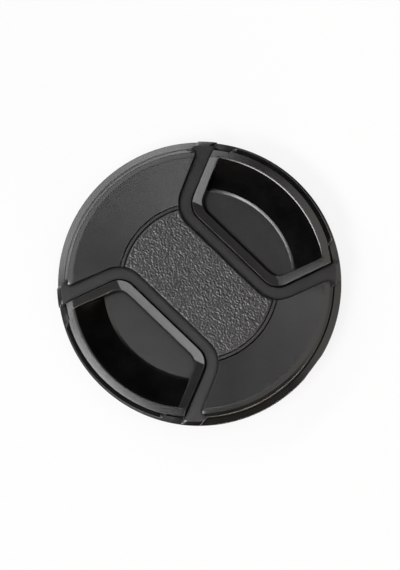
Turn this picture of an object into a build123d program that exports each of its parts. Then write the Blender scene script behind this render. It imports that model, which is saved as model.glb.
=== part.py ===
from build123d import *
import os
from math import cos, radians, sin, sqrt, tan

# A centre-pinch camera lens cap: a moulded front, two sprung pinch sliders and a rear cover.
# +X points along the pinch axis, +Z out of the front of the cap, and the skirt's foot is at Z = 0.

# Reach of cutting shapes past the part, and the tolerance for picking edges
headroom = 2.0
tiny = 0.01

# Lens thread and the circles that follow from it
thread_diameter = 67.0
thread_pitch = 0.75
crest_clearance = 0.05
ridge_height = 0.45
ridge_count = 2
jaw_wall = 1.2
jaw_half_angle = 34.0
jaw_setback = 0.3
jaw_side_room = 0.35
ring_gap = 0.15
ring_width = 2.05
seat_clearance = 0.1
gate_depth = 0.22
gate_angle = -82.8
skirt_clearance = 0.9
skirt_wall = 1.2
wing_lap = 0.15
band_overhang = 0.1

# Heights, from the skirt's foot up
seat_height = 3.6
ring_thickness = 2.1
ring_bevel = 0.95
flange_gap = 0.4
flange_thickness = 1.2
flange_bevel_width = 1.1
flange_bevel_drop = 0.5
slide_gap = 0.2
plate_thickness = 1.2

# Wings and centre panel
panel_width = 17.3
panel_radius = 18.9
groove_spacing = 0.95
groove_width = 0.28
groove_depth = 0.35
wing_start = 1.2
wing_rise = 0.5
border_width = 2.1
border_drop = 0.65
roll_width = 0.9
roll_drop = 0.45
tip_radius = 1.2
tip_lap = 1.3
opening_flare = 22.3
opening_round = 7.4

# Pinch sliders
travel = 2.2
side_room = 6.6
side_clearance = 0.2
flange_lap = 1.45
band_width = 3.15
band_side = 2.4
grip_flare = 20.9
grip_round = 4.6
grip_rise = 1.6
grip_dish = 1.0
dish_start = 17.5
grip_setback = 0.5
shoulder_step = 1.5
shoulder_lap = 1.95
shoulder_round = 1.2
outer_rim_width = 3.2
outer_rim_drop = 1.4
rim_roll_width = 1.2
rim_roll_drop = 0.95
nose_rise = 0.35
nose_slope = 5.0
foot_groove_width = 0.35
foot_groove_depth = 0.3
rim_width = 2.1
rim_side = 1.55
pocket_flare = 22.0
pocket_round = 3.9
mouth_width = 0.4
mouth_drop = 0.06
pocket_slope = 40.5
foot_width = 0.7
cup_wall = 1.1
floor_thickness = 1.0
rib_thickness = 1.0
rib_angles = (-20, 0, 20)

# Rear cover and its fixings
cover_setback = 0.6
cover_thickness = 1.0
cover_gap = 0.2
cup_gap = 0.6
relief_gap = 0.4
guide_wall = 1.2
rail_inset = 1.1
rail_width = 2.0
rail_gap = 0.2
rail_end_room = 1.5
hook_width = 4.0
hook_thickness = 1.2
hook_nose = 0.4
hook_setback = 0.1
hook_clearance = 0.1
hook_wall_room = 0.9
hook_edge_room = 2.2

# Springs, their seats and stops
spring_diameter = 3.2
spring_wire = 0.4
spring_turns = 4
spring_offset = 12.0
spring_end_gap = 0.1
spring_lift = 0.1
pad_height = 0.6
peg_slack = 0.25
spring_peg_length = 2.0
seat_thickness = 1.5
seat_width = 3.2
stop_gap = 0.1
stop_clearance = 0.3
stop_height_gap = 0.6
trough_clearance = 0.3
trough_wall = 1.0
trough_length = 9.0
trough_height = 2.2

# Radii worked out from the thread
crest_radius = thread_diameter / 2 - crest_clearance
jaw_radius = crest_radius - ridge_height
jaw_inner = jaw_radius - jaw_wall
seat_inner = crest_radius + seat_clearance
ring_inner = jaw_radius + ring_gap
ring_radius = ring_inner + ring_width
skirt_radius = thread_diameter / 2 - skirt_clearance
skirt_inner = skirt_radius - skirt_wall
wing_radius = ring_inner + wing_lap
flange_radius = ring_radius + band_overhang
grip_radius = ring_radius - grip_setback
cover_radius = skirt_inner - cover_gap

# Levels worked out from the heights
ring_top = seat_height + ring_thickness
flange_bottom = ring_top + flange_gap
flange_top = flange_bottom + flange_thickness
plate_bottom = flange_top + slide_gap
plate_top = plate_bottom + plate_thickness
wing_top = plate_top + wing_rise
grip_low = flange_top + grip_rise
grip_high = grip_low + grip_dish
cover_top = cover_setback + cover_thickness
cup_bottom = cover_top + cup_gap
pocket_floor = cup_bottom + floor_thickness
spring_axis = cover_top + pad_height + spring_lift + spring_diameter / 2
above_all = grip_high + headroom

# Plan sizes worked out from the panel, the thread and the band
jaw_gate_half = crest_radius * sin(radians(jaw_half_angle)) + jaw_side_room
guide_half = skirt_inner - side_room
slider_half = guide_half - side_clearance
opening_inner = panel_width / 2
flange_inner = opening_inner - flange_lap
tip_y = slider_half - tip_lap
tip_x = sqrt(wing_radius**2 - tip_y**2)
opening_half = tip_y - tan(radians(opening_flare)) * (tip_x - opening_inner)
grip_inner = opening_inner + band_width
grip_half = opening_half - band_side
pocket_inner = grip_inner + rim_width
pocket_half = grip_half - rim_side
pocket_radius = grip_radius - outer_rim_width
floor_radius = pocket_radius - (grip_high - pocket_floor) / tan(radians(pocket_slope))
wing_inner = panel_radius + wing_start
shoulder_y = grip_half + shoulder_lap
hook_y = guide_half + guide_wall + hook_wall_room + hook_thickness / 2
hook_x = sqrt((cover_radius - hook_edge_room) ** 2 - hook_y**2)
stop_inner = flange_inner + seat_thickness + stop_gap
stop_outer = pocket_inner - cup_wall - travel - stop_clearance
beyond = 2 * flange_radius


def flared_outline(inner, half, flare, corner_round, grow=0.0):
    """A plan with a straight inner side, rounded corners and sides that flare out past the rim."""
    inner_x = inner - grow
    corner_y = half + grow * (1 - sin(radians(flare))) / cos(radians(flare))
    end_y = corner_y + tan(radians(flare)) * (beyond - inner_x)
    with BuildSketch() as outline:
        with BuildLine():
            FilletPolyline(
                (beyond, -end_y),
                (inner_x, -corner_y),
                (inner_x, corner_y),
                (beyond, end_y),
                radius=corner_round + grow,
            )
            Line((beyond, end_y), (beyond, -end_y))
        make_face()
    return outline.sketch


opening = flared_outline(opening_inner, opening_half, opening_flare, opening_round)
grip_plan = flared_outline(grip_inner, grip_half, grip_flare, grip_round)
foot_plan = flared_outline(grip_inner, grip_half, grip_flare, grip_round, foot_groove_width)
pocket_plan = flared_outline(pocket_inner, pocket_half, pocket_flare, pocket_round)
cup_plan = flared_outline(pocket_inner, pocket_half, pocket_flare, pocket_round, cup_wall)

# Side walls and skirt: two arcs, open where the jaws pass, and higher up where the flanges pass
with BuildPart() as side_walls:
    with BuildSketch(Plane.XZ):
        Polygon(
            (skirt_inner, 0),
            (skirt_radius, 0),
            (skirt_radius, seat_height),
            (seat_inner, seat_height),
            (wing_radius, ring_top - ring_bevel),
            (wing_radius, plate_bottom + plate_thickness / 2),
            (skirt_inner, plate_bottom + plate_thickness / 2),
            align=None,
        )
    revolve(axis=Axis.Z)
    with BuildSketch():
        Rectangle(beyond, 2 * jaw_gate_half)
    extrude(amount=above_all, mode=Mode.SUBTRACT)
    with BuildSketch(Plane.XY.offset(ring_top)):
        Rectangle(beyond, 2 * guide_half)
    extrude(amount=above_all, mode=Mode.SUBTRACT)

# Plan of the front plate: the wings and the panel between the two openings
with BuildSketch() as plate_plan:
    Circle(wing_radius)
    add(opening, mode=Mode.SUBTRACT)
    add(opening.rotate(Axis.Z, 180), mode=Mode.SUBTRACT)
    tips = plate_plan.vertices().filter_by(lambda v: sqrt(v.X**2 + v.Y**2) > wing_radius - tiny)
    fillet(tips, tip_radius)

# Front shell: wings and panel in one plate, low outer ring, side walls, guide walls and snap hooks
with BuildPart() as front_shell:
    with BuildSketch(Plane.XY.offset(plate_bottom)):
        add(plate_plan.sketch)
    extrude(amount=wing_top - plate_bottom)
    with BuildSketch(Plane.XZ):
        Polygon(
            (0, plate_top),
            (wing_inner, plate_top),
            (wing_radius - border_width, wing_top),
            (wing_radius - roll_width, wing_top - border_drop + roll_drop),
            (wing_radius, wing_top - border_drop),
            (wing_radius, 0),
            (0, 0),
            align=None,
        )
    revolve(axis=Axis.Z, mode=Mode.INTERSECT)
    for groove_radius in (panel_radius, panel_radius + groove_spacing):
        with BuildSketch(Plane.XZ):
            Polygon(
                (groove_radius - groove_width / 2, plate_top),
                (groove_radius, plate_top - groove_depth),
                (groove_radius + groove_width / 2, plate_top),
                align=None,
            )
        revolve(axis=Axis.Z, mode=Mode.SUBTRACT)
    add(side_walls.part)
    with BuildSketch(Plane.XZ):
        Polygon(
            (seat_inner, seat_height),
            (ring_radius, seat_height),
            (ring_radius, ring_top - ring_bevel),
            (ring_inner, ring_top),
            (ring_inner, seat_height + seat_inner - ring_inner),
            align=None,
        )
    revolve(axis=Axis.Z)
    with BuildSketch(Plane.XY.offset(seat_height).rotated((0, 0, gate_angle))):
        with Locations((ring_radius - gate_depth, 0)):
            Rectangle(headroom, beyond, align=(Align.MIN, Align.CENTER))
    extrude(amount=ring_thickness, mode=Mode.SUBTRACT)
    with BuildSketch(Plane.XY.offset(cover_top)):
        for side in (-1, 1):
            with Locations((0, side * (guide_half + guide_wall / 2))):
                Rectangle(beyond, guide_wall)
        Circle((skirt_inner + skirt_radius) / 2, mode=Mode.INTERSECT)
    extrude(until=Until.NEXT)
    for side in (-1, 1):
        for x in (-hook_x, hook_x):
            with BuildSketch(Plane.YZ.offset(x)):
                Polygon(
                    (side * (hook_y - hook_thickness / 2), plate_bottom),
                    (side * (hook_y - hook_thickness / 2), hook_setback),
                    (side * (hook_y + hook_thickness / 2), hook_setback),
                    (side * (hook_y + hook_thickness / 2 + hook_nose), cover_setback),
                    (side * (hook_y + hook_thickness / 2), cover_setback),
                    (side * (hook_y + hook_thickness / 2), plate_bottom),
                    align=None,
                )
            extrude(amount=hook_width / 2, both=True)
front_shell.part.label = "front_shell"

# Plan of the raised grip, with a shoulder at each end of its outer rim
with BuildSketch() as grip_outline:
    Circle(grip_radius)
    Rectangle(beyond, 2 * shoulder_y, mode=Mode.INTERSECT)
    Circle(grip_radius - shoulder_step)
    add(grip_plan, mode=Mode.INTERSECT)
    shoulders = grip_outline.vertices().filter_by(lambda v: abs(abs(v.Y) - shoulder_y) < tiny)
    fillet(shoulders, shoulder_round)

# Top of the grip: a dish that rises to the rim, and a nose that slopes down into the pocket
with BuildPart() as grip_top:
    with BuildSketch(Plane.XZ):
        Polygon(
            (0, grip_low),
            (dish_start, grip_low),
            (pocket_radius, grip_high),
            (grip_radius - rim_roll_width, grip_high - outer_rim_drop + rim_roll_drop),
            (grip_radius, grip_high - outer_rim_drop),
            (grip_radius, 0),
            (0, 0),
            align=None,
        )
    revolve(axis=Axis.Z)
    nose_top = grip_low + nose_rise
    nose_run = nose_top / tan(radians(nose_slope))
    with BuildSketch(Plane.XZ):
        Polygon(
            (grip_inner, 0),
            (grip_inner, nose_top),
            (grip_inner + nose_run, 0),
            align=None,
        )
    extrude(amount=beyond, both=True)

# Raised grip of a slider, before its finger pocket is cut
with BuildPart() as grip:
    with BuildSketch(Plane.XY.offset(flange_bottom)):
        add(grip_outline.sketch)
    extrude(amount=above_all - flange_bottom)
    add(grip_top.part, mode=Mode.INTERSECT)

# Finger pocket: flat floor, steep inner sides and a conical outer wall with an eased mouth
with BuildPart() as pocket:
    with BuildSketch(Plane.XY.offset(pocket_floor)):
        add(pocket_plan)
    extrude(amount=above_all - pocket_floor)
    mouth_low = grip_high - mouth_width / 2 * tan(radians(pocket_slope))
    with BuildSketch(Plane.XZ):
        Polygon(
            (0, pocket_floor),
            (floor_radius - foot_width / 2, pocket_floor),
            (floor_radius + foot_width / 2, pocket_floor + foot_width / 2 * tan(radians(pocket_slope))),
            (pocket_radius - mouth_width / 2, mouth_low),
            (pocket_radius + mouth_width / 2, grip_high - mouth_drop),
            (pocket_radius + mouth_width / 2, above_all),
            (0, above_all),
            align=None,
        )
    revolve(axis=Axis.Z, mode=Mode.INTERSECT)

# Cup round the pocket
with BuildPart() as cup:
    with BuildSketch(Plane.XY.offset(cup_bottom)):
        add(cup_plan)
    extrude(amount=flange_top - cup_bottom)
    cup_run = (flange_top - pocket_floor) / tan(radians(pocket_slope))
    cup_skin = cup_wall / sin(radians(pocket_slope))
    with BuildSketch(Plane.XZ):
        Polygon(
            (0, cup_bottom),
            (floor_radius, cup_bottom),
            (floor_radius + cup_skin, pocket_floor),
            (floor_radius + cup_skin + cup_run, flange_top),
            (0, flange_top),
            align=None,
        )
    revolve(axis=Axis.Z, mode=Mode.INTERSECT)

# Pinch slider: flange that shows as the band, grip, pocket, jaw with thread ridges and spring seats
with BuildPart() as right_slider:
    with BuildSketch(Plane.XY.offset(flange_bottom)):
        Circle(flange_radius)
        with Locations((flange_inner, 0)):
            Rectangle(beyond, 2 * slider_half, align=(Align.MIN, Align.CENTER), mode=Mode.INTERSECT)
        add(grip_plan, mode=Mode.SUBTRACT)
    extrude(amount=flange_thickness)
    with BuildSketch(Plane.XZ):
        Polygon(
            (flange_radius - flange_bevel_width, flange_top),
            (flange_radius, flange_top - flange_bevel_drop),
            (flange_radius, flange_top),
            align=None,
        )
    revolve(axis=Axis.Z, mode=Mode.SUBTRACT)
    add(grip.part)
    with BuildSketch(Plane.XY.offset(flange_top)):
        add(foot_plan)
        add(grip_plan, mode=Mode.SUBTRACT)
    extrude(amount=-foot_groove_depth, mode=Mode.SUBTRACT)
    add(cup.part)
    jaw_top = flange_bottom + flange_thickness / 2
    jaw_profile = [(jaw_inner, jaw_top), (jaw_inner, jaw_setback), (jaw_radius, jaw_setback)]
    for ridge in range(ridge_count):
        crest_z = jaw_setback + (ridge + 1) * thread_pitch
        jaw_profile.append((jaw_radius, crest_z - thread_pitch / 2))
        jaw_profile.append((crest_radius, crest_z))
    jaw_profile.append((jaw_radius, jaw_setback + ridge_count * thread_pitch + thread_pitch / 2))
    jaw_profile.append((jaw_radius, jaw_top))
    with BuildSketch(Plane.XZ.rotated((0, 0, -jaw_half_angle))):
        Polygon(*jaw_profile, align=None)
    revolve(axis=Axis.Z, revolution_arc=2 * jaw_half_angle)
    for angle in rib_angles:
        with BuildSketch(Plane.XZ.rotated((0, 0, angle))):
            Polygon(
                (floor_radius, cup_bottom),
                (jaw_inner + jaw_wall / 2, pocket_floor),
                (jaw_inner + jaw_wall / 2, flange_top),
                (floor_radius, flange_top),
                align=None,
            )
        extrude(amount=rib_thickness / 2, both=True)
    with BuildSketch(Plane.YZ.offset(flange_inner)):
        with Locations((-spring_offset, spring_axis), (spring_offset, spring_axis)):
            Rectangle(seat_width, 2 * (flange_bottom - spring_axis))
    extrude(amount=seat_thickness)
    peg_side = sqrt(2) * (spring_diameter / 2 - spring_wire - peg_slack)
    with BuildSketch(Plane.YZ.offset(flange_inner)):
        with Locations((-spring_offset, spring_axis), (spring_offset, spring_axis)):
            Rectangle(peg_side, peg_side)
    extrude(amount=-spring_peg_length)
    add(pocket.part, mode=Mode.SUBTRACT)
right_slider.part.label = "right_slider"

with BuildPart() as left_slider:
    add(right_slider.part.rotate(Axis.Z, 180))
left_slider.part.label = "left_slider"

# Rear cover: plate, rails under the flanges, spring troughs and the stops that keep the sliders in
slot_depth = hook_thickness + 2 * hook_clearance
with BuildPart() as back_cover:
    with BuildSketch(Plane.XY.offset(cover_setback)):
        Circle(cover_radius)
        for side in (-1, 1):
            with Locations((side * travel, 0)):
                Circle(jaw_inner - relief_gap, mode=Mode.INTERSECT)
        for side in (-1, 1):
            with Locations((-hook_x, side * hook_y), (hook_x, side * hook_y)):
                Rectangle(hook_width + 2 * hook_clearance, slot_depth, mode=Mode.SUBTRACT)
    extrude(amount=cover_thickness)
    rail_y = slider_half - rail_inset - rail_width / 2
    with BuildSketch(Plane.XY.offset(cover_top)):
        with Locations((0, -rail_y), (0, rail_y)):
            Rectangle(beyond, rail_width)
        Circle(cover_radius - rail_end_room, mode=Mode.INTERSECT)
    extrude(amount=flange_bottom - rail_gap - cover_top)
    trough_y = spring_diameter / 2 + trough_clearance + trough_wall / 2
    with BuildSketch(Plane.XY.offset(cover_top)):
        for side in (-1, 1):
            with Locations((0, side * spring_offset - trough_y), (0, side * spring_offset + trough_y)):
                Rectangle(trough_length, trough_wall)
    extrude(amount=trough_height)
    with BuildSketch(Plane.XY.offset(cover_top)):
        with Locations((0, -spring_offset), (0, spring_offset)):
            Rectangle(trough_length, 2 * trough_y)
    extrude(amount=pad_height)
    with BuildSketch(Plane.XY.offset(cover_top)):
        for end in (-1, 1):
            for side in (-1, 1):
                with Locations((end * (stop_inner + stop_outer) / 2, side * spring_offset)):
                    Rectangle(stop_outer - stop_inner, seat_width)
    extrude(amount=flange_bottom - stop_height_gap - cover_top)
back_cover.part.label = "back_cover"

# Compression springs between the two sliders, wound from square wire and ground flat
spring_half = flange_inner - spring_end_gap
spring_pitch = 2 * spring_half / spring_turns
coil_length = 2 * spring_half + spring_wire
springs = []
for side in (-1, 1):
    with BuildPart() as spring:
        with BuildLine():
            coil = Helix(
                spring_pitch,
                coil_length,
                (spring_diameter - spring_wire) / 2,
                center=(-coil_length / 2, side * spring_offset, spring_axis),
                direction=(1, 0, 0),
            )
        with BuildSketch(Plane(coil @ 0, z_dir=coil % 0)):
            Rectangle(spring_wire, spring_wire)
        sweep(is_frenet=True)
        split(bisect_by=Plane.YZ.offset(spring_half), keep=Keep.BOTTOM)
        split(bisect_by=Plane.YZ.offset(-spring_half), keep=Keep.TOP)
    springs.append(spring)
springs[0].part.label = "lower_spring"
springs[1].part.label = "upper_spring"

os.makedirs("parts", exist_ok=True)
for piece in (front_shell, right_slider, left_slider, back_cover, *springs):
    export_step(piece.part, "parts/" + piece.part.label + ".step")
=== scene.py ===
"""Centre-pinch camera lens cap: finishes, centre grain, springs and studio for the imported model."""

import math

import bmesh
import bpy
from bpy.props import FloatProperty, FloatVectorProperty, PointerProperty
from mathutils import Matrix, Vector, noise


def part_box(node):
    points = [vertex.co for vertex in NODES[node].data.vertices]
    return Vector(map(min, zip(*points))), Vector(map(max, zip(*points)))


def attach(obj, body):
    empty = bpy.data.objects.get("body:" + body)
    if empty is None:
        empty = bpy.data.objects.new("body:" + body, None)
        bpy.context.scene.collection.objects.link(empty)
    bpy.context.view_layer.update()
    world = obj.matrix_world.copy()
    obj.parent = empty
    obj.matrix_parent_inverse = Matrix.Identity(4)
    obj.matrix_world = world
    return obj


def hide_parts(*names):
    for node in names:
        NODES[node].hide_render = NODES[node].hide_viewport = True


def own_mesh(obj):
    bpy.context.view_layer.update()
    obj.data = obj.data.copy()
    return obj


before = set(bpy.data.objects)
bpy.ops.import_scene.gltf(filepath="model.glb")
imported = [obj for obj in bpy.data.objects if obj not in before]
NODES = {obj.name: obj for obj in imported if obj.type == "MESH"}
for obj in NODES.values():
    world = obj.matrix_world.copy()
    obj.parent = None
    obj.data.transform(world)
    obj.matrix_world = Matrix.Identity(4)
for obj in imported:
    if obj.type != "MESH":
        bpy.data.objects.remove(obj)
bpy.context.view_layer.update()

bl_info = {
    "name": "Lens Cap",
    "version": (1, 0, 0),
    "blender": (4, 5, 0),
    "location": "View3D > Sidebar > Lens Cap",
    "description": "Finishes a centre-pinch camera lens cap and sets it in a small studio",
    "category": "Object",
}

MM = 0.001
SLIDERS = ("right_slider", "left_slider")
SPRINGS = ("lower_spring", "upper_spring")

# Clean-up and rounding of the CAD meshes: distance at which points are welded, angles under which
# faces count as one before and after the rounds, angle from which an edge is rounded, steps of a
# round, and how much large faces count in the normals
WELD = 0.02 * MM
FLAT_ANGLE = math.radians(0.6)
WHOLE_ANGLE = math.radians(0.2)
ROUND_ANGLE = math.radians(8)
ROUND_STEPS = 2
NORMAL_WEIGHT = 60

# Centre panel, as in the solid: half width, top, and the rounded corners of the openings beside it
PANEL_HALF = 8.65 * MM
PANEL_TOP = 8.7 * MM
OPENING_ROUND = 7.4 * MM
OPENING_FLARE = math.radians(22.3)
CORNER_X = PANEL_HALF + OPENING_ROUND
CORNER_Y = 12.127 * MM

# Leather grain: inset from the panel's sides, radius of its round ends, lift above the panel, width
# of its soft edge, depth of its foot in the panel, about how wide and long its mesh is, how often
# the search for its corner halves the angle, and the seed that keeps its noise the same each run
GRAIN_INSET = 0.14 * MM
GRAIN_RADIUS = 18.7 * MM
GRAIN_LIFT = 0.012 * MM
GRAIN_FADE = 0.3 * MM
GRAIN_ROOT = 0.1 * MM
GRAIN_WIDTH = 2 * PANEL_HALF * 1.15
GRAIN_LENGTH = 2 * GRAIN_RADIUS * 0.95
CORNER_HALVINGS = 50
GRAIN_SEED = 1
CORNER_BEND = OPENING_ROUND + GRAIN_INSET

# Pebbles of the leather, in cells: the slice of noise, how far and how tightly it is pulled about,
# the mean height, the pebbles' share, and the share and tightness of the creases in them
LEATHER_SLICE = 7.3
PULL = 0.25
PULL_SCALE = 0.7
MEAN_HEIGHT = 0.5
PEBBLE_SHARE = 0.8
CREASE_SHARE = 0.25
CREASE_SCALE = 2.1

# Moulded finishes: roughness, width of the handled patches, pitch and depth of the mould's texture.
# The real pitch is too fine to show, so it is drawn coarser.
SATIN = (0.26, 6 * MM, 0.35 * MM, 0.003 * MM)
LEATHER = (0.34, 3 * MM, 0.2 * MM, 0.002 * MM)
GRIP = (0.22, 5 * MM, 0.35 * MM, 0.003 * MM)
MATT = (0.45, 4 * MM, 0.4 * MM, 0.006 * MM)

# ABS: index of refraction, specular level, most wear in a handled patch, unevenness of the gloss
ABS_IOR = 1.54
SHEEN = 0.9
PATCH_WEAR = 0.05
GLOSS_SPREAD = 0.04

# Outer edges, lighter as rubbed wear and as a painted highlight: width, cosine of the normal's turn
# where the lightening starts and where it is full, and the pointiness from which an edge points out
EDGE_WEAR_AND_HIGHLIGHT = 0.18 * MM
EDGE_LIGHTEN_START = 0.995
EDGE_LIGHTEN_FULL = 0.9
OUTWARD = 0.501

# Painted shade in the inner corners: reach of the shade, openness where the sheen is least and
# where it is whole, and its least share
CORNER_REACH = 1.5 * MM
CORNER_SHUT = 0.5
CORNER_OPEN = 0.88
CORNER_SHEEN = 0.05

# Painted shade, a dark line round the wings: their radius and the ring's top, as in the solid, and
# its width
WING_RADIUS = 33.3 * MM
RING_TOP = 5.9 * MM
SHADE_LINE_WIDTH = 0.3 * MM

# Spring steel: width of the oil's patches and of the die's marks, most oil, range of roughness
OIL_PATCH = 0.9 * MM
DIE_MARK = 0.12 * MM
MOST_OIL = 0.8
STEEL_SMOOTH = 0.2
STEEL_ROUGH = 0.45

# Springs: wire, pitch of the closed end turn, open turns in each half, mesh steps in a turn and
# round the wire
SPRING_WIRE = 0.4 * MM
CLOSED_PITCH = 0.42 * MM
ACTIVE_TURNS = 3.25
SPRING_STEPS = 28
WIRE_SIDES = 10

# Photograph, in pixels: its size, and the cap's centre and radius in it; the turn of the pinch axis
PHOTO_WIDTH = 400
PHOTO_HEIGHT = 570
PHOTO_X = 199.56
PHOTO_Y = 284.09
PHOTO_RADIUS = 141.96
PINCH_TURN = math.radians(46.1)

# Cap's radius, the height that the camera looks at, and the camera's sensor in millimetres
CAP_RADIUS = 35.2 * MM
VIEW_HEIGHT = 4.5 * MM
SENSOR = 36.0

# Lamps: name; azimuth in the picture from its right, anticlockwise, and lean from straight above,
# both in degrees; width and height in metres; watts; colour. All hang at the same distance.
LAMP_DISTANCE = 2.5
LAMPS = (
    ("key_lamp", 218, 9, 0.5, 0.35, 3.4, "#ffffff"),
    ("low_strip", 218, 37, 1.5, 0.62, 34.0, "#ffffff"),
    ("upper_strip", 137, 24, 2.7, 0.25, 7.3, "#ffffff"),
    ("back_strip", 133, 56, 4.0, 0.33, 25.0, "#ffffff"),
    ("right_fill", 357, 30, 2.4, 2.2, 14.0, "#fffaf2"),
    ("low_rim", 298, 84, 2.2, 0.4, 67.0, "#fff3e2"),
)

# Floor: half its side in metres, how far it lies below the cap, and the share of white that it
# shows whatever the light
FLOOR_HALF = 1.5
FLOOR_DROP = 0.02 * MM
FLOOR_GLOW = 0.85


def linear(hex_colour):
    """Linear RGBA of an sRGB hex colour."""
    channels = [int(hex_colour[i:i + 2], 16) / 255 for i in (1, 3, 5)]
    return (*[c / 12.92 if c <= 0.04045 else ((c + 0.055) / 1.055) ** 2.4 for c in channels], 1.0)


class FinishSettings(bpy.types.PropertyGroup):
    """Colours and surface of the moulded plastic and the springs."""

    shell_colour: FloatVectorProperty(
        name="Shell colour", description="Black ABS of the wings, panel and outer ring",
        subtype="COLOR", size=4, min=0, max=1, default=linear("#060606"))
    slider_colour: FloatVectorProperty(
        name="Slider colour", description="Black ABS of the two pinch sliders",
        subtype="COLOR", size=4, min=0, max=1, default=linear("#060606"))
    cover_colour: FloatVectorProperty(
        name="Cover colour", description="Black ABS of the rear cover",
        subtype="COLOR", size=4, min=0, max=1, default=linear("#171717"))
    # This greyer tone is also laid on the outer edges, partly as wear and partly as a painted
    # highlight
    wear_and_highlight_colour: FloatVectorProperty(
        name="Worn colour", description="Greyer tone of the ABS where it is handled",
        subtype="COLOR", size=4, min=0, max=1, default=linear("#4a4845"))
    steel_colour: FloatVectorProperty(
        name="Steel colour", description="Drawn spring wire",
        subtype="COLOR", size=4, min=0, max=1, default=linear("#b9b7b2"))
    oiled_colour: FloatVectorProperty(
        name="Oiled steel colour", description="Spring wire under its film of oil",
        subtype="COLOR", size=4, min=0, max=1, default=linear("#837d72"))
    edge_round: FloatProperty(
        name="Edge round",
        description="Width of the small rounds that moulding leaves on each edge",
        unit="LENGTH", min=0, default=0.12 * MM)
    slider_round: FloatProperty(
        name="Slider edge round", description="Width of the crisper rounds on the sliders' edges",
        unit="LENGTH", min=0, default=0.09 * MM)


class GrainSettings(bpy.types.PropertyGroup):
    """Size of the leather grain on the centre panel."""

    cell: FloatProperty(
        name="Grain size", description="Mean width of one pebble of the grain",
        unit="LENGTH", min=0, default=0.40 * MM)
    depth: FloatProperty(
        name="Grain depth", description="Height from the valleys to the tops of the grain",
        unit="LENGTH", min=0, default=0.19 * MM)
    spacing: FloatProperty(
        name="Mesh spacing", description="Distance between the grain's mesh points",
        unit="LENGTH", min=0.05 * MM, default=0.105 * MM)


class StageSettings(bpy.types.PropertyGroup):
    """Camera, floor and room light."""

    distance: FloatProperty(
        name="Camera distance", description="From the camera to the cap",
        unit="LENGTH", min=0.1, default=2.4)
    tilt: FloatProperty(
        name="Camera tilt",
        description="Lean of the view from straight above, towards the cap's -Y side",
        subtype="ANGLE", unit="ROTATION", default=math.radians(5.0))
    floor_colour: FloatVectorProperty(
        name="Floor colour", description="Paper that the cap lies on",
        subtype="COLOR", size=4, min=0, max=1, default=linear("#ffffff"))
    world_strength: FloatProperty(
        name="Room light", description="Strength of the even light from all round",
        min=0, default=0.0)


def add_object(scene, name, data):
    """Adds an object to the scene."""
    made = bpy.data.objects.new(name, data)
    scene.collection.objects.link(made)
    return made


def add_node(tree, kind, inputs=None, **settings):
    """Adds a node with its settings; each input is a value or an output socket to link."""
    made = tree.nodes.new(kind)
    for name, value in settings.items():
        setattr(made, name, value)
    for name, value in (inputs or {}).items():
        if isinstance(value, bpy.types.NodeSocket):
            tree.links.new(value, made.inputs[name])
        else:
            made.inputs[name].default_value = value
    return made


def new_material(name):
    """An empty node material and its tree."""
    material = bpy.data.materials.new(name)
    material.use_nodes = True
    material.node_tree.nodes.clear()
    return material, material.node_tree


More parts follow.
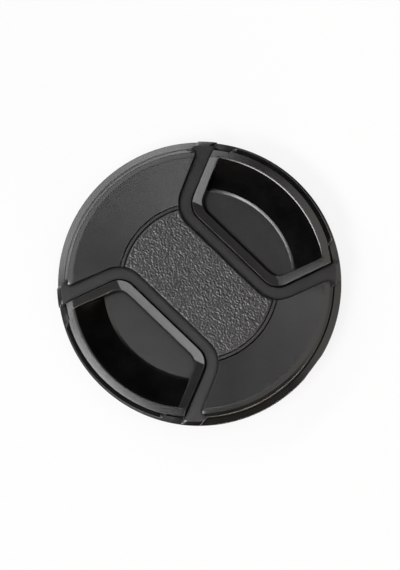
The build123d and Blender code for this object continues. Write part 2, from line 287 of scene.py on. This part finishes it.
def moulded_abs(name, colour, wear_and_highlight_colour, finish):
    """Black moulded ABS, a very dark body that shows its form by the sheen of a spark-eroded mould.

    Handling leaves patches a little greyer and duller. The outer edges are lighter still, partly
    rubbed wear and partly a painted highlight. The inner corners get painted shade: their sheen is
    taken out, which leaves a dark line.
    """
    roughness, patch, pitch, depth = finish
    material, tree = new_material(name)
    place = add_node(tree, "ShaderNodeTexCoord").outputs["Object"]

    # Handled patches
    patches = add_node(
        tree, "ShaderNodeTexNoise",
        {"Vector": place, "Scale": 1 / patch, "Detail": 4.0, "Roughness": 0.6}).outputs["Fac"]
    dull = add_node(
        tree, "ShaderNodeMapRange",
        {"Value": patches, "From Min": 0.35, "From Max": 0.7, "To Min": 0.0, "To Max": PATCH_WEAR})
    gloss = add_node(
        tree, "ShaderNodeMapRange",
        {"Value": patches, "From Min": 0.3, "From Max": 0.7,
         "To Min": (1 - GLOSS_SPREAD) * roughness, "To Max": (1 + GLOSS_SPREAD) * roughness})

    # Rubbed edges, partly a painted highlight: lighter where a rounded normal leaves the true one and
    # the surface points outwards
    geometry = add_node(tree, "ShaderNodeNewGeometry").outputs
    eased = add_node(tree, "ShaderNodeBevel", {"Radius": EDGE_WEAR_AND_HIGHLIGHT}, samples=6)
    turned = add_node(
        tree, "ShaderNodeVectorMath", {0: eased.outputs["Normal"], 1: geometry["Normal"]},
        operation="DOT_PRODUCT")
    near_edge = add_node(
        tree, "ShaderNodeMapRange",
        {"Value": turned.outputs["Value"], "From Min": EDGE_LIGHTEN_START, "From Max": EDGE_LIGHTEN_FULL,
         "To Min": 0.0, "To Max": 1.0})
    outer = add_node(
        tree, "ShaderNodeMath", {0: geometry["Pointiness"], 1: OUTWARD}, operation="GREATER_THAN")
    rubbed_and_highlit = add_node(
        tree, "ShaderNodeMath", {0: near_edge.outputs["Result"], 1: outer.outputs["Value"]},
        operation="MULTIPLY")
    wear_and_edge_highlight = add_node(
        tree, "ShaderNodeMath", {0: dull.outputs["Result"], 1: rubbed_and_highlit.outputs["Value"]},
        operation="MAXIMUM")
    # Handled patches and outer edges take the greyer tone; on the edges it is partly a painted
    # highlight
    body = add_node(
        tree, "ShaderNodeMix", {0: wear_and_edge_highlight.outputs["Value"], 6: colour, 7: wear_and_highlight_colour},
        data_type="RGBA")

    # The mould's texture
    texture = add_node(
        tree, "ShaderNodeTexNoise",
        {"Vector": place, "Scale": 1 / pitch, "Detail": 2.0, "Roughness": 0.6})
    bump = add_node(
        tree, "ShaderNodeBump",
        {"Height": texture.outputs["Fac"], "Strength": 1.0, "Distance": depth})

    # Painted shade in the inner corners: the sheen is taken out where the surface is closed in
    corner = add_node(tree, "ShaderNodeAmbientOcclusion", {"Distance": CORNER_REACH}, samples=8)
    painted_corner_shade = add_node(
        tree, "ShaderNodeMapRange",
        {"Value": corner.outputs["AO"], "From Min": CORNER_SHUT, "From Max": CORNER_OPEN,
         "To Min": CORNER_SHEEN, "To Max": 1.0})

    shader = add_node(
        tree, "ShaderNodeBsdfPrincipled",
        {"Base Color": body.outputs[2], "Roughness": gloss.outputs["Result"], "IOR": ABS_IOR,
         "Specular IOR Level": SHEEN, "Specular Tint": painted_corner_shade.outputs["Result"],
         "Normal": bump.outputs["Normal"]})
    add_node(tree, "ShaderNodeOutputMaterial", {"Surface": shader.outputs["BSDF"]})
    return material


def add_painted_shade_line(material):
    """Painted shade: a dark line on the outer ring at the foot of the wings, where the sheen is taken
    out.
    """
    tree = material.node_tree
    place = add_node(tree, "ShaderNodeTexCoord").outputs["Object"]
    level = add_node(
        tree, "ShaderNodeVectorMath", {0: place, 1: (1, 1, 0)}, operation="MULTIPLY")
    radius = add_node(
        tree, "ShaderNodeVectorMath", {0: level.outputs["Vector"]}, operation="LENGTH")
    height = add_node(tree, "ShaderNodeSeparateXYZ", {"Vector": place})
    at_wall = add_node(
        tree, "ShaderNodeMath",
        {0: radius.outputs["Value"], 1: WING_RADIUS + SHADE_LINE_WIDTH / 2, 2: SHADE_LINE_WIDTH / 2},
        operation="COMPARE")
    at_ring = add_node(
        tree, "ShaderNodeMath", {0: height.outputs["Z"], 1: RING_TOP}, operation="LESS_THAN")
    line = add_node(
        tree, "ShaderNodeMath", {0: at_wall.outputs["Value"], 1: at_ring.outputs["Value"]},
        operation="MULTIPLY")
    shader = next(item for item in tree.nodes if item.type == "BSDF_PRINCIPLED")
    tint = shader.inputs["Specular Tint"]
    lined = add_node(
        tree, "ShaderNodeMapRange",
        {"Value": line.outputs["Value"], "To Min": tint.links[0].from_socket, "To Max": 0.0})
    tree.links.new(lined.outputs["Result"], tint)


def drawn_steel(name, colour, oiled_colour):
    """Drawn spring wire, bright grey steel, dulled by a patchy film of oil and the die's marks."""
    material, tree = new_material(name)
    place = add_node(tree, "ShaderNodeTexCoord").outputs["Object"]
    film = add_node(
        tree, "ShaderNodeTexNoise", {"Vector": place, "Scale": 1 / OIL_PATCH, "Detail": 3.0})
    oiled = add_node(
        tree, "ShaderNodeMapRange",
        {"Value": film.outputs["Fac"], "From Min": 0.4, "From Max": 0.65,
         "To Min": 0.0, "To Max": MOST_OIL})
    tone = add_node(
        tree, "ShaderNodeMix", {0: oiled.outputs["Result"], 6: colour, 7: oiled_colour},
        data_type="RGBA")
    marks = add_node(
        tree, "ShaderNodeTexNoise", {"Vector": place, "Scale": 1 / DIE_MARK, "Detail": 2.0})
    gloss = add_node(
        tree, "ShaderNodeMapRange",
        {"Value": marks.outputs["Fac"], "To Min": STEEL_SMOOTH, "To Max": STEEL_ROUGH})
    shader = add_node(
        tree, "ShaderNodeBsdfPrincipled",
        {"Base Color": tone.outputs[2], "Metallic": 1.0, "Roughness": gloss.outputs["Result"]})
    add_node(tree, "ShaderNodeOutputMaterial", {"Surface": shader.outputs["BSDF"]})
    return material


def dress(node, material, edge_round):
    """Gives a CAD node its material and the small rounds on its edges."""
    piece = NODES[node]
    piece.data.materials.clear()
    piece.data.materials.append(material)
    for face in piece.data.polygons:
        face.use_smooth = True
    weld = piece.modifiers.new("weld", "WELD")
    weld.merge_threshold = WELD
    flat = piece.modifiers.new("flat faces", "DECIMATE")
    flat.decimate_type = "DISSOLVE"
    flat.angle_limit = FLAT_ANGLE
    # Without triangles here, the rounds stretch faces across the finger pockets
    piece.modifiers.new("triangles", "TRIANGULATE")
    rounds = piece.modifiers.new("edge rounds", "BEVEL")
    rounds.width = edge_round
    rounds.segments = ROUND_STEPS
    rounds.limit_method = "ANGLE"
    rounds.angle_limit = ROUND_ANGLE
    rounds.use_clamp_overlap = False
    whole = piece.modifiers.new("whole faces", "DECIMATE")
    whole.decimate_type = "DISSOLVE"
    whole.angle_limit = WHOLE_ANGLE
    normals = piece.modifiers.new("normals", "WEIGHTED_NORMAL")
    normals.weight = NORMAL_WEIGHT


class LENSCAP_OT_shell(bpy.types.Operator):
    """Finish the front shell"""

    bl_idname = "lenscap.shell"
    bl_label = "Front shell"

    def execute(self, context):
        finish = context.scene.lenscap_finish
        # Satin black: broad soft lights on the wings
        material = moulded_abs(
            "abs_black_satin_moulded", finish.shell_colour, finish.wear_and_highlight_colour, SATIN)
        # Painted shade: a dark line on the outer ring at the foot of the wings
        add_painted_shade_line(material)
        dress("front_shell", material, finish.edge_round)
        return {"FINISHED"}


def panel_corner():
    """Angle, about an opening corner's centre, at which the grain's side meets its round end."""
    low, high = math.radians(90) + OPENING_FLARE, math.pi
    for _ in range(CORNER_HALVINGS):
        angle = (low + high) / 2
        x = CORNER_X + CORNER_BEND * math.cos(angle)
        y = CORNER_Y + CORNER_BEND * math.sin(angle)
        if math.hypot(x, y) > GRAIN_RADIUS:
            low = angle
        else:
            high = angle
    return angle


def panel_side(corner, share):
    """A point of the grain's right side, from its lower corner at share 0 to its upper one at 1."""
    bend = CORNER_BEND * (math.pi - corner)
    length = 2 * (bend + CORNER_Y)
    run = abs(share - 0.5) * length - CORNER_Y
    sign = 1 if share > 0.5 else -1
    if run <= 0:
        return PANEL_HALF - GRAIN_INSET, (share - 0.5) * length
    angle = math.pi - run / CORNER_BEND
    return (CORNER_X + CORNER_BEND * math.cos(angle),
            sign * (CORNER_Y + CORNER_BEND * math.sin(angle)))


def leather_height(x, y, cell):
    """Height of the leather grain at a point, from 0 in the valleys to 1 on the tops."""
    spot = Vector((x / cell, y / cell, LEATHER_SLICE))
    spot += PULL * noise.noise_vector(spot * PULL_SCALE)
    height = (MEAN_HEIGHT + PEBBLE_SHARE * noise.noise(spot)
              + CREASE_SHARE * noise.noise(spot * CREASE_SCALE))
    return min(1.0, max(0.0, height))


def grain_mesh(name, grain):
    """A closed mesh of the leather grain, with its foot in the panel."""
    corner = panel_corner()
    end_x, end_y = panel_side(corner, 1.0)
    sweep = math.atan2(end_x, end_y)
    columns = round(GRAIN_WIDTH / grain.spacing)
    rows = round(GRAIN_LENGTH / grain.spacing)
    noise.seed_set(GRAIN_SEED)
    build = bmesh.new()
    grid = []
    for j in range(rows + 1):
        side_x, side_y = panel_side(corner, j / rows)
        along = 2 * (j / rows) - 1
        line = []
        for i in range(columns + 1):
            across = 2 * (i / columns) - 1
            turn = sweep * across
            arc_x, arc_y = GRAIN_RADIUS * math.sin(turn), GRAIN_RADIUS * math.cos(turn)
            x = arc_x + across * side_x - across * end_x
            y = along * arc_y + side_y - along * end_y
            edge = min(i, columns - i, j, rows - j) * grain.spacing
            fade = min(1.0, edge / GRAIN_FADE)
            height = GRAIN_LIFT + grain.depth * fade * leather_height(x, y, grain.cell)
            line.append(build.verts.new((x, y, PANEL_TOP + height)))
        grid.append(line)
    for j in range(rows):
        for i in range(columns):
            build.faces.new((grid[j][i], grid[j][i + 1], grid[j + 1][i + 1], grid[j + 1][i]))
    rim = (grid[0][:-1] + [line[-1] for line in grid[:-1]]
           + grid[-1][:0:-1] + [line[0] for line in grid[:0:-1]])
    foot = [build.verts.new((v.co.x, v.co.y, PANEL_TOP - GRAIN_ROOT)) for v in rim]
    for k, vert in enumerate(rim):
        after = (k + 1) % len(rim)
        build.faces.new((vert, foot[k], foot[after], rim[after]))
    build.faces.new(foot[::-1])
    mesh = bpy.data.meshes.new(name)
    build.to_mesh(mesh)
    build.free()
    for face in mesh.polygons:
        face.use_smooth = True
    return mesh


class LENSCAP_OT_grain(bpy.types.Operator):
    """Lay the leather grain on the centre panel"""

    bl_idname = "lenscap.grain"
    bl_label = "Centre grain"

    def execute(self, context):
        finish = context.scene.lenscap_finish
        mesh = grain_mesh("panel_grain", context.scene.lenscap_grain)
        piece = add_object(context.scene, "panel_grain", mesh)
        # Duller black than the wings: each pebble catches its own small light
        mesh.materials.append(moulded_abs(
            "abs_black_leather_grain", finish.shell_colour, finish.wear_and_highlight_colour, LEATHER))
        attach(piece, "shell")
        return {"FINISHED"}


class LENSCAP_OT_sliders(bpy.types.Operator):
    """Finish the two pinch sliders"""

    bl_idname = "lenscap.sliders"
    bl_label = "Pinch sliders"

    def execute(self, context):
        finish = context.scene.lenscap_finish
        # The glossiest black of the cap: bright lines along the grips' rims
        material = moulded_abs(
            "abs_black_slider_moulded", finish.slider_colour, finish.wear_and_highlight_colour, GRIP)
        for node in SLIDERS:
            dress(node, material, finish.slider_round)
        return {"FINISHED"}


class LENSCAP_OT_back(bpy.types.Operator):
    """Finish the rear cover"""

    bl_idname = "lenscap.back"
    bl_label = "Rear cover"

    def execute(self, context):
        finish = context.scene.lenscap_finish
        # Matt and a little greyer: no clear lights
        material = moulded_abs(
            "abs_black_matt_moulded", finish.cover_colour, finish.wear_and_highlight_colour, MATT)
        dress("back_cover", material, finish.edge_round)
        return {"FINISHED"}


def half_spring(name, centre, end, reach, radius):
    """A mesh of half a spring: round wire from its middle to a closed last turn at one end of X."""
    active_reach = reach - SPRING_WIRE / 2 - CLOSED_PITCH
    steps = round((ACTIVE_TURNS + 1) * SPRING_STEPS)
    build = bmesh.new()
    rings = []
    for k in range(steps + 1):
        turns = k / SPRING_STEPS
        along = (min(turns / ACTIVE_TURNS, 1.0) * active_reach
                 + max(0.0, turns - ACTIVE_TURNS) * CLOSED_PITCH)
        angle = end * 2 * math.pi * turns
        outward = Vector((0, math.cos(angle), math.sin(angle)))
        middle = centre + Vector((end * along, 0, 0)) + outward * (radius - SPRING_WIRE / 2)
        ring = []
        for i in range(WIRE_SIDES):
            around = 2 * math.pi * i / WIRE_SIDES
            offset = outward * math.cos(around) + Vector((end * math.sin(around), 0, 0))
            ring.append(build.verts.new(middle + offset * SPRING_WIRE / 2))
        rings.append(ring)
    for one, other in zip(rings, rings[1:]):
        for i in range(WIRE_SIDES):
            after = (i + 1) % WIRE_SIDES
            build.faces.new((one[i], other[i], other[after], one[after]))
    build.faces.new(rings[0])
    build.faces.new(rings[-1][::-1])
    bmesh.ops.recalc_face_normals(build, faces=build.faces)
    mesh = bpy.data.meshes.new(name)
    build.to_mesh(mesh)
    build.free()
    for face in mesh.polygons:
        face.use_smooth = len(face.vertices) == 4
    return mesh


class LENSCAP_OT_springs(bpy.types.Operator):
    """Wind the two springs, each in two halves, a right and a left one"""

    bl_idname = "lenscap.springs"
    bl_label = "Springs"

    def execute(self, context):
        finish = context.scene.lenscap_finish
        steel = drawn_steel("spring_steel_drawn", finish.steel_colour, finish.oiled_colour)
        for node in SPRINGS:
            low, high = (Vector(corner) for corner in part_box(node))
            centre = (low + high) / 2
            reach = high.x - centre.x
            radius = high.y - centre.y
            for side, end, joint in (("right", 1, "right_pinch"), ("left", -1, "left_pinch")):
                name = f"{node}_{side}"
                mesh = half_spring(name, centre, end, reach, radius)
                mesh.materials.append(steel)
                piece = add_object(context.scene, name, mesh)
                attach(piece, "shell")
                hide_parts(node)
                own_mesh(piece)
        return {"FINISHED"}


def lay_floor(scene, colour):
    """Matt white paper, which shows as white and keeps a soft shadow."""
    mesh = bpy.data.meshes.new("paper_floor")
    mesh.from_pydata(
        [(x * FLOOR_HALF, y * FLOOR_HALF, -FLOOR_DROP)
         for x, y in ((-1, -1), (1, -1), (1, 1), (-1, 1))], [], [(0, 1, 2, 3)])
    floor = add_object(scene, "paper_floor", mesh)
    paper, tree = new_material("paper_white_matt")
    path = add_node(tree, "ShaderNodeLightPath").outputs
    seen = add_node(
        tree, "ShaderNodeMath", {0: path["Is Camera Ray"], 1: path["Is Glossy Ray"]},
        operation="MAXIMUM")
    seen = add_node(
        tree, "ShaderNodeMath", {0: seen.outputs["Value"], 1: path["Is Transmission Ray"]},
        operation="MAXIMUM")
    share = add_node(
        tree, "ShaderNodeMath", {0: seen.outputs["Value"], 1: FLOOR_GLOW}, operation="MULTIPLY")
    matt = add_node(tree, "ShaderNodeBsdfDiffuse", {"Color": colour})
    glow = add_node(tree, "ShaderNodeEmission", {"Color": colour, "Strength": 1.0})
    mixed = add_node(
        tree, "ShaderNodeMixShader",
        {0: share.outputs["Value"], 1: matt.outputs["BSDF"], 2: glow.outputs["Emission"]})
    add_node(tree, "ShaderNodeOutputMaterial", {"Surface": mixed.outputs["Shader"]})
    mesh.materials.append(paper)


def light_room(scene, strength):
    """A room that is white to the camera and gives the cap an even light of that strength."""
    world = bpy.data.worlds.new("room")
    world.use_nodes = True
    tree = world.node_tree
    tree.nodes.clear()
    path = add_node(tree, "ShaderNodeLightPath").outputs
    shown = add_node(
        tree, "ShaderNodeMapRange",
        {"Value": path["Is Camera Ray"], "To Min": strength, "To Max": 1.0})
    room = add_node(
        tree, "ShaderNodeBackground",
        {"Color": (1, 1, 1, 1), "Strength": shown.outputs["Result"]})
    add_node(tree, "ShaderNodeOutputWorld", {"Surface": room.outputs["Background"]})
    scene.world = world


class LENSCAP_OT_stage(bpy.types.Operator):
    """Set the camera, lamps, floor and room light"""

    bl_idname = "lenscap.stage"
    bl_label = "Studio"

    def execute(self, context):
        scene = context.scene
        stage = scene.lenscap_stage
        scene.view_settings.view_transform = "Standard"

        # Camera: from above the cap, turned so that the pinch axis runs as in the photograph
        pixel = CAP_RADIUS / PHOTO_RADIUS
        towards = Vector((0, -math.sin(stage.tilt), math.cos(stage.tilt)))
        upright = Vector((math.sin(PINCH_TURN), math.cos(PINCH_TURN), 0))
        up = (upright - upright.dot(towards) * towards).normalized()
        right = up.cross(towards)
        target = Vector((0, 0, VIEW_HEIGHT))
        target += (right * pixel * (PHOTO_WIDTH / 2 - PHOTO_X)
                   + up * pixel * (PHOTO_Y - PHOTO_HEIGHT / 2))
        lens = bpy.data.cameras.new("camera")
        lens.lens = SENSOR * stage.distance / (pixel * PHOTO_HEIGHT)
        lens.sensor_width = SENSOR
        camera = add_object(scene, "camera", lens)
        camera.matrix_world = Matrix.Translation(target + towards * stage.distance) @ Matrix(
            (right, up, towards)).transposed().to_4x4()
        scene.camera = camera

        for name, azimuth, lean, width, height, power, colour in LAMPS:
            lamp = bpy.data.lights.new(name, "AREA")
            lamp.shape = "RECTANGLE"
            lamp.size = width
            lamp.size_y = height
            lamp.energy = power
            lamp.color = linear(colour)[:3]
            around, down = math.radians(azimuth), math.radians(lean)
            level = right * math.cos(around) + upright * math.sin(around)
            back = level * math.sin(down) + Vector((0, 0, 1)) * math.cos(down)
            holder = add_object(scene, name, lamp)
            holder.location = target + back * LAMP_DISTANCE
            holder.rotation_euler = back.to_track_quat("Z", "Y").to_euler()

        lay_floor(scene, stage.floor_colour)
        light_room(scene, stage.world_strength)
        return {"FINISHED"}


class LENSCAP_PT_panel(bpy.types.Panel):
    """Lists the cap's pieces and its studio"""

    bl_idname = "LENSCAP_PT_panel"
    bl_label = "Lens cap"
    bl_space_type = "VIEW_3D"
    bl_region_type = "UI"
    bl_category = "Lens Cap"

    def draw(self, context):
        for operator in OPERATORS:
            self.layout.operator(operator.bl_idname)


OPERATORS = (
    LENSCAP_OT_stage, LENSCAP_OT_shell, LENSCAP_OT_grain, LENSCAP_OT_sliders, LENSCAP_OT_back,
    LENSCAP_OT_springs)
CLASSES = (FinishSettings, GrainSettings, StageSettings, *OPERATORS, LENSCAP_PT_panel)


def register():
    """Registers the classes and hangs the settings on the scene."""
    for cls in CLASSES:
        bpy.utils.register_class(cls)
    bpy.types.Scene.lenscap_finish = PointerProperty(type=FinishSettings)
    bpy.types.Scene.lenscap_grain = PointerProperty(type=GrainSettings)
    bpy.types.Scene.lenscap_stage = PointerProperty(type=StageSettings)


def unregister():
    """Takes the settings and classes away again."""
    del bpy.types.Scene.lenscap_stage
    del bpy.types.Scene.lenscap_grain
    del bpy.types.Scene.lenscap_finish
    for cls in reversed(CLASSES):
        bpy.utils.unregister_class(cls)


def main():
    """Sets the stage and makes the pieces."""
    register()
    bpy.ops.lenscap.stage()
    bpy.ops.lenscap.shell()
    bpy.ops.lenscap.grain()
    bpy.ops.lenscap.sliders()
    bpy.ops.lenscap.back()
    bpy.ops.lenscap.springs()


if __name__ == "__main__":
    main()
